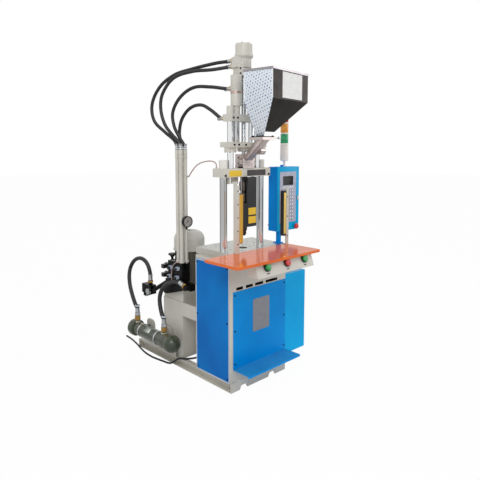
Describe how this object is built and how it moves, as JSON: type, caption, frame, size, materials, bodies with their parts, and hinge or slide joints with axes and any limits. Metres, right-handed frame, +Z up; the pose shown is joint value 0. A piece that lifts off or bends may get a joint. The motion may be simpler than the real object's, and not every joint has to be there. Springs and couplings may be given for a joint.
{
  "type": "vertical injection moulding machine",
  "caption": "Small vertical injection moulding machine with tie bar clamp, screw injection unit, square hopper, work table, control box, light curtains and hydraulic power pack.",
  "frame": {"origin": "on the floor, straight below the midpoint between the two tie bars", "axes": "+Z up, -Y to the operator's side, +X to the operator's right"},
  "size_m": [0.917, 1.5427, 2.148],
  "materials": {
    "beige_paint": "semi-gloss enamel",
    "blue_paint": "gloss enamel",
    "orange_paint": "gloss enamel",
    "platen_steel": "ground",
    "bright_steel": "turned",
    "chromed_steel": "hard chrome",
    "curtain_gold": "satin",
    "keypad_film": "satin film",
    "lamp_plastic": "gloss",
    "device_plastic": "matt",
    "cast_aluminium": "as cast",
    "cast_iron": "as cast",
    "black_steel": "black oxide",
    "black_plastic": "matt",
    "green_paint": "semi-gloss enamel",
    "zinc_steel": "zinc plated",
    "hose_rubber": "matt",
    "cable_rubber": "matt",
    "tube_plastic": "matt",
    "stainless_film": "bright with film",
    "barrel_steel": "nitrided",
    "band_steel": "heat tinted",
    "green_plastic": "gloss",
    "red_plastic": "gloss"
  },
  "bodies": {
    "frame": {"base_frame": "beige_paint", "cabinet_frame": "beige_paint", "left_cover": "blue_paint", "front_cover": "blue_paint", "lower_platen": "platen_steel", "work_table": "orange_paint", "button_box": "beige_paint", "curtain_posts": "beige_paint", "light_curtains": "curtain_gold", "control_box": "blue_paint", "operator_panel": "keypad_film", "signal_lamp": "lamp_plastic", "electrical_cabinet": "blue_paint", "switchgear": "device_plastic", "oil_tank": "beige_paint", "tank_lid": "beige_paint", "pump_motor": "beige_paint", "bell_housing": "cast_aluminium", "oil_pump": "cast_iron", "valve_block": "black_steel", "solenoid_valves": "black_plastic", "gauge_case": "black_steel", "pressure_pipes": "beige_paint", "oil_cooler": "green_paint", "cooler_straps": "zinc_steel", "oil_filter": "black_steel", "cooler_hose_rear": "hose_rubber", "cooler_hose_front": "hose_rubber", "mains_cable": "cable_rubber", "motor_hose_upper": "hose_rubber", "motor_hose_lower": "hose_rubber", "cylinder_hose_upper": "hose_rubber", "cylinder_hose_lower": "hose_rubber", "water_hose": "tube_plastic", "clamp_cylinder": "cast_iron"},
    "clamp": {"clamp_yoke": "cast_iron", "tie_bars": "chromed_steel", "cap_nuts": "beige_paint", "upper_platen": "beige_paint", "guide_columns": "chromed_steel", "top_flange": "beige_paint", "injection_cylinders": "beige_paint", "hydraulic_motor": "beige_paint", "feed_block": "bright_steel", "hopper": "stainless_film", "barrel": "barrel_steel", "heater_bands": "band_steel", "barrel_guard": "black_steel"},
    "injection": {"crosshead": "beige_paint", "piston_rods": "chromed_steel"},
    "plasticising_screw": {"screw": "bright_steel"},
    "feed_gate": {"hopper_gate": "bright_steel"},
    "left_start": {"left_start_button": "green_plastic"},
    "right_start": {"right_start_button": "green_plastic"},
    "stop": {"stop_button": "red_plastic"},
    "emergency_stop": {"emergency_button": "red_plastic"},
    "relief_knob": {"pressure_knob": "black_plastic"},
    "needle": {"gauge_needle": "black_plastic"},
    "cabinet_door": {"electrical_door": "blue_paint"},
    "rotor": {"motor_rotor": "bright_steel"}
  },
  "joints": [
    {"name": "clamp_slide", "type": "slide", "parent": "frame", "child": "clamp", "axis": [0, 0, 1], "range_m": [-0.07, 0], "deforming": ["motor_hose_upper", "motor_hose_lower", "cylinder_hose_upper", "cylinder_hose_lower", "water_hose"]},
    {"name": "injection_slide", "type": "slide", "parent": "clamp", "child": "injection", "axis": [0, 0, 1], "range_m": [0, 0.115]},
    {"name": "screw_spin", "type": "hinge", "parent": "injection", "child": "plasticising_screw", "pos_m": [0, -0.012, 1.5], "axis": [0, 0, 1], "continuous": true},
    {"name": "gate_slide", "type": "slide", "parent": "clamp", "child": "feed_gate", "axis": [1, 0, 0], "range_m": [0, 0.055]},
    {"name": "left_start_press", "type": "slide", "parent": "frame", "child": "left_start", "axis": [0, 0.9434, -0.3317], "range_m": [0, 0.006], "stiffness_N_per_m": 900, "springref_m": -0.004},
    {"name": "right_start_press", "type": "slide", "parent": "frame", "child": "right_start", "axis": [0, 0.9434, -0.3317], "range_m": [0, 0.006], "stiffness_N_per_m": 900, "springref_m": -0.004},
    {"name": "stop_press", "type": "slide", "parent": "frame", "child": "stop", "axis": [0, 0.9434, -0.3317], "range_m": [0, 0.006], "stiffness_N_per_m": 900, "springref_m": -0.004},
    {"name": "emergency_press", "type": "slide", "parent": "frame", "child": "emergency_stop", "axis": [0, 1, 0], "range_m": [0, 0.005]},
    {"name": "relief_turn", "type": "hinge", "parent": "frame", "child": "relief_knob", "pos_m": [-0.2, 0.49, 0.76], "axis": [0, 0, 1], "range_deg": [-360, 360]},
    {"name": "needle_turn", "type": "hinge", "parent": "frame", "child": "needle", "pos_m": [-0.195, 0.328, 1.021], "axis": [0, 1, 0], "range_deg": [0, 270]},
    {"name": "door_swing", "type": "hinge", "parent": "frame", "child": "cabinet_door", "pos_m": [0.492, 0.198, 0.38], "axis": [0, 0, 1], "range_deg": [0, 110]},
    {"name": "motor_spin", "type": "hinge", "parent": "frame", "child": "rotor", "pos_m": [-0.05, 0.49, 0.76], "axis": [0, 0, 1], "continuous": true}
  ]
}
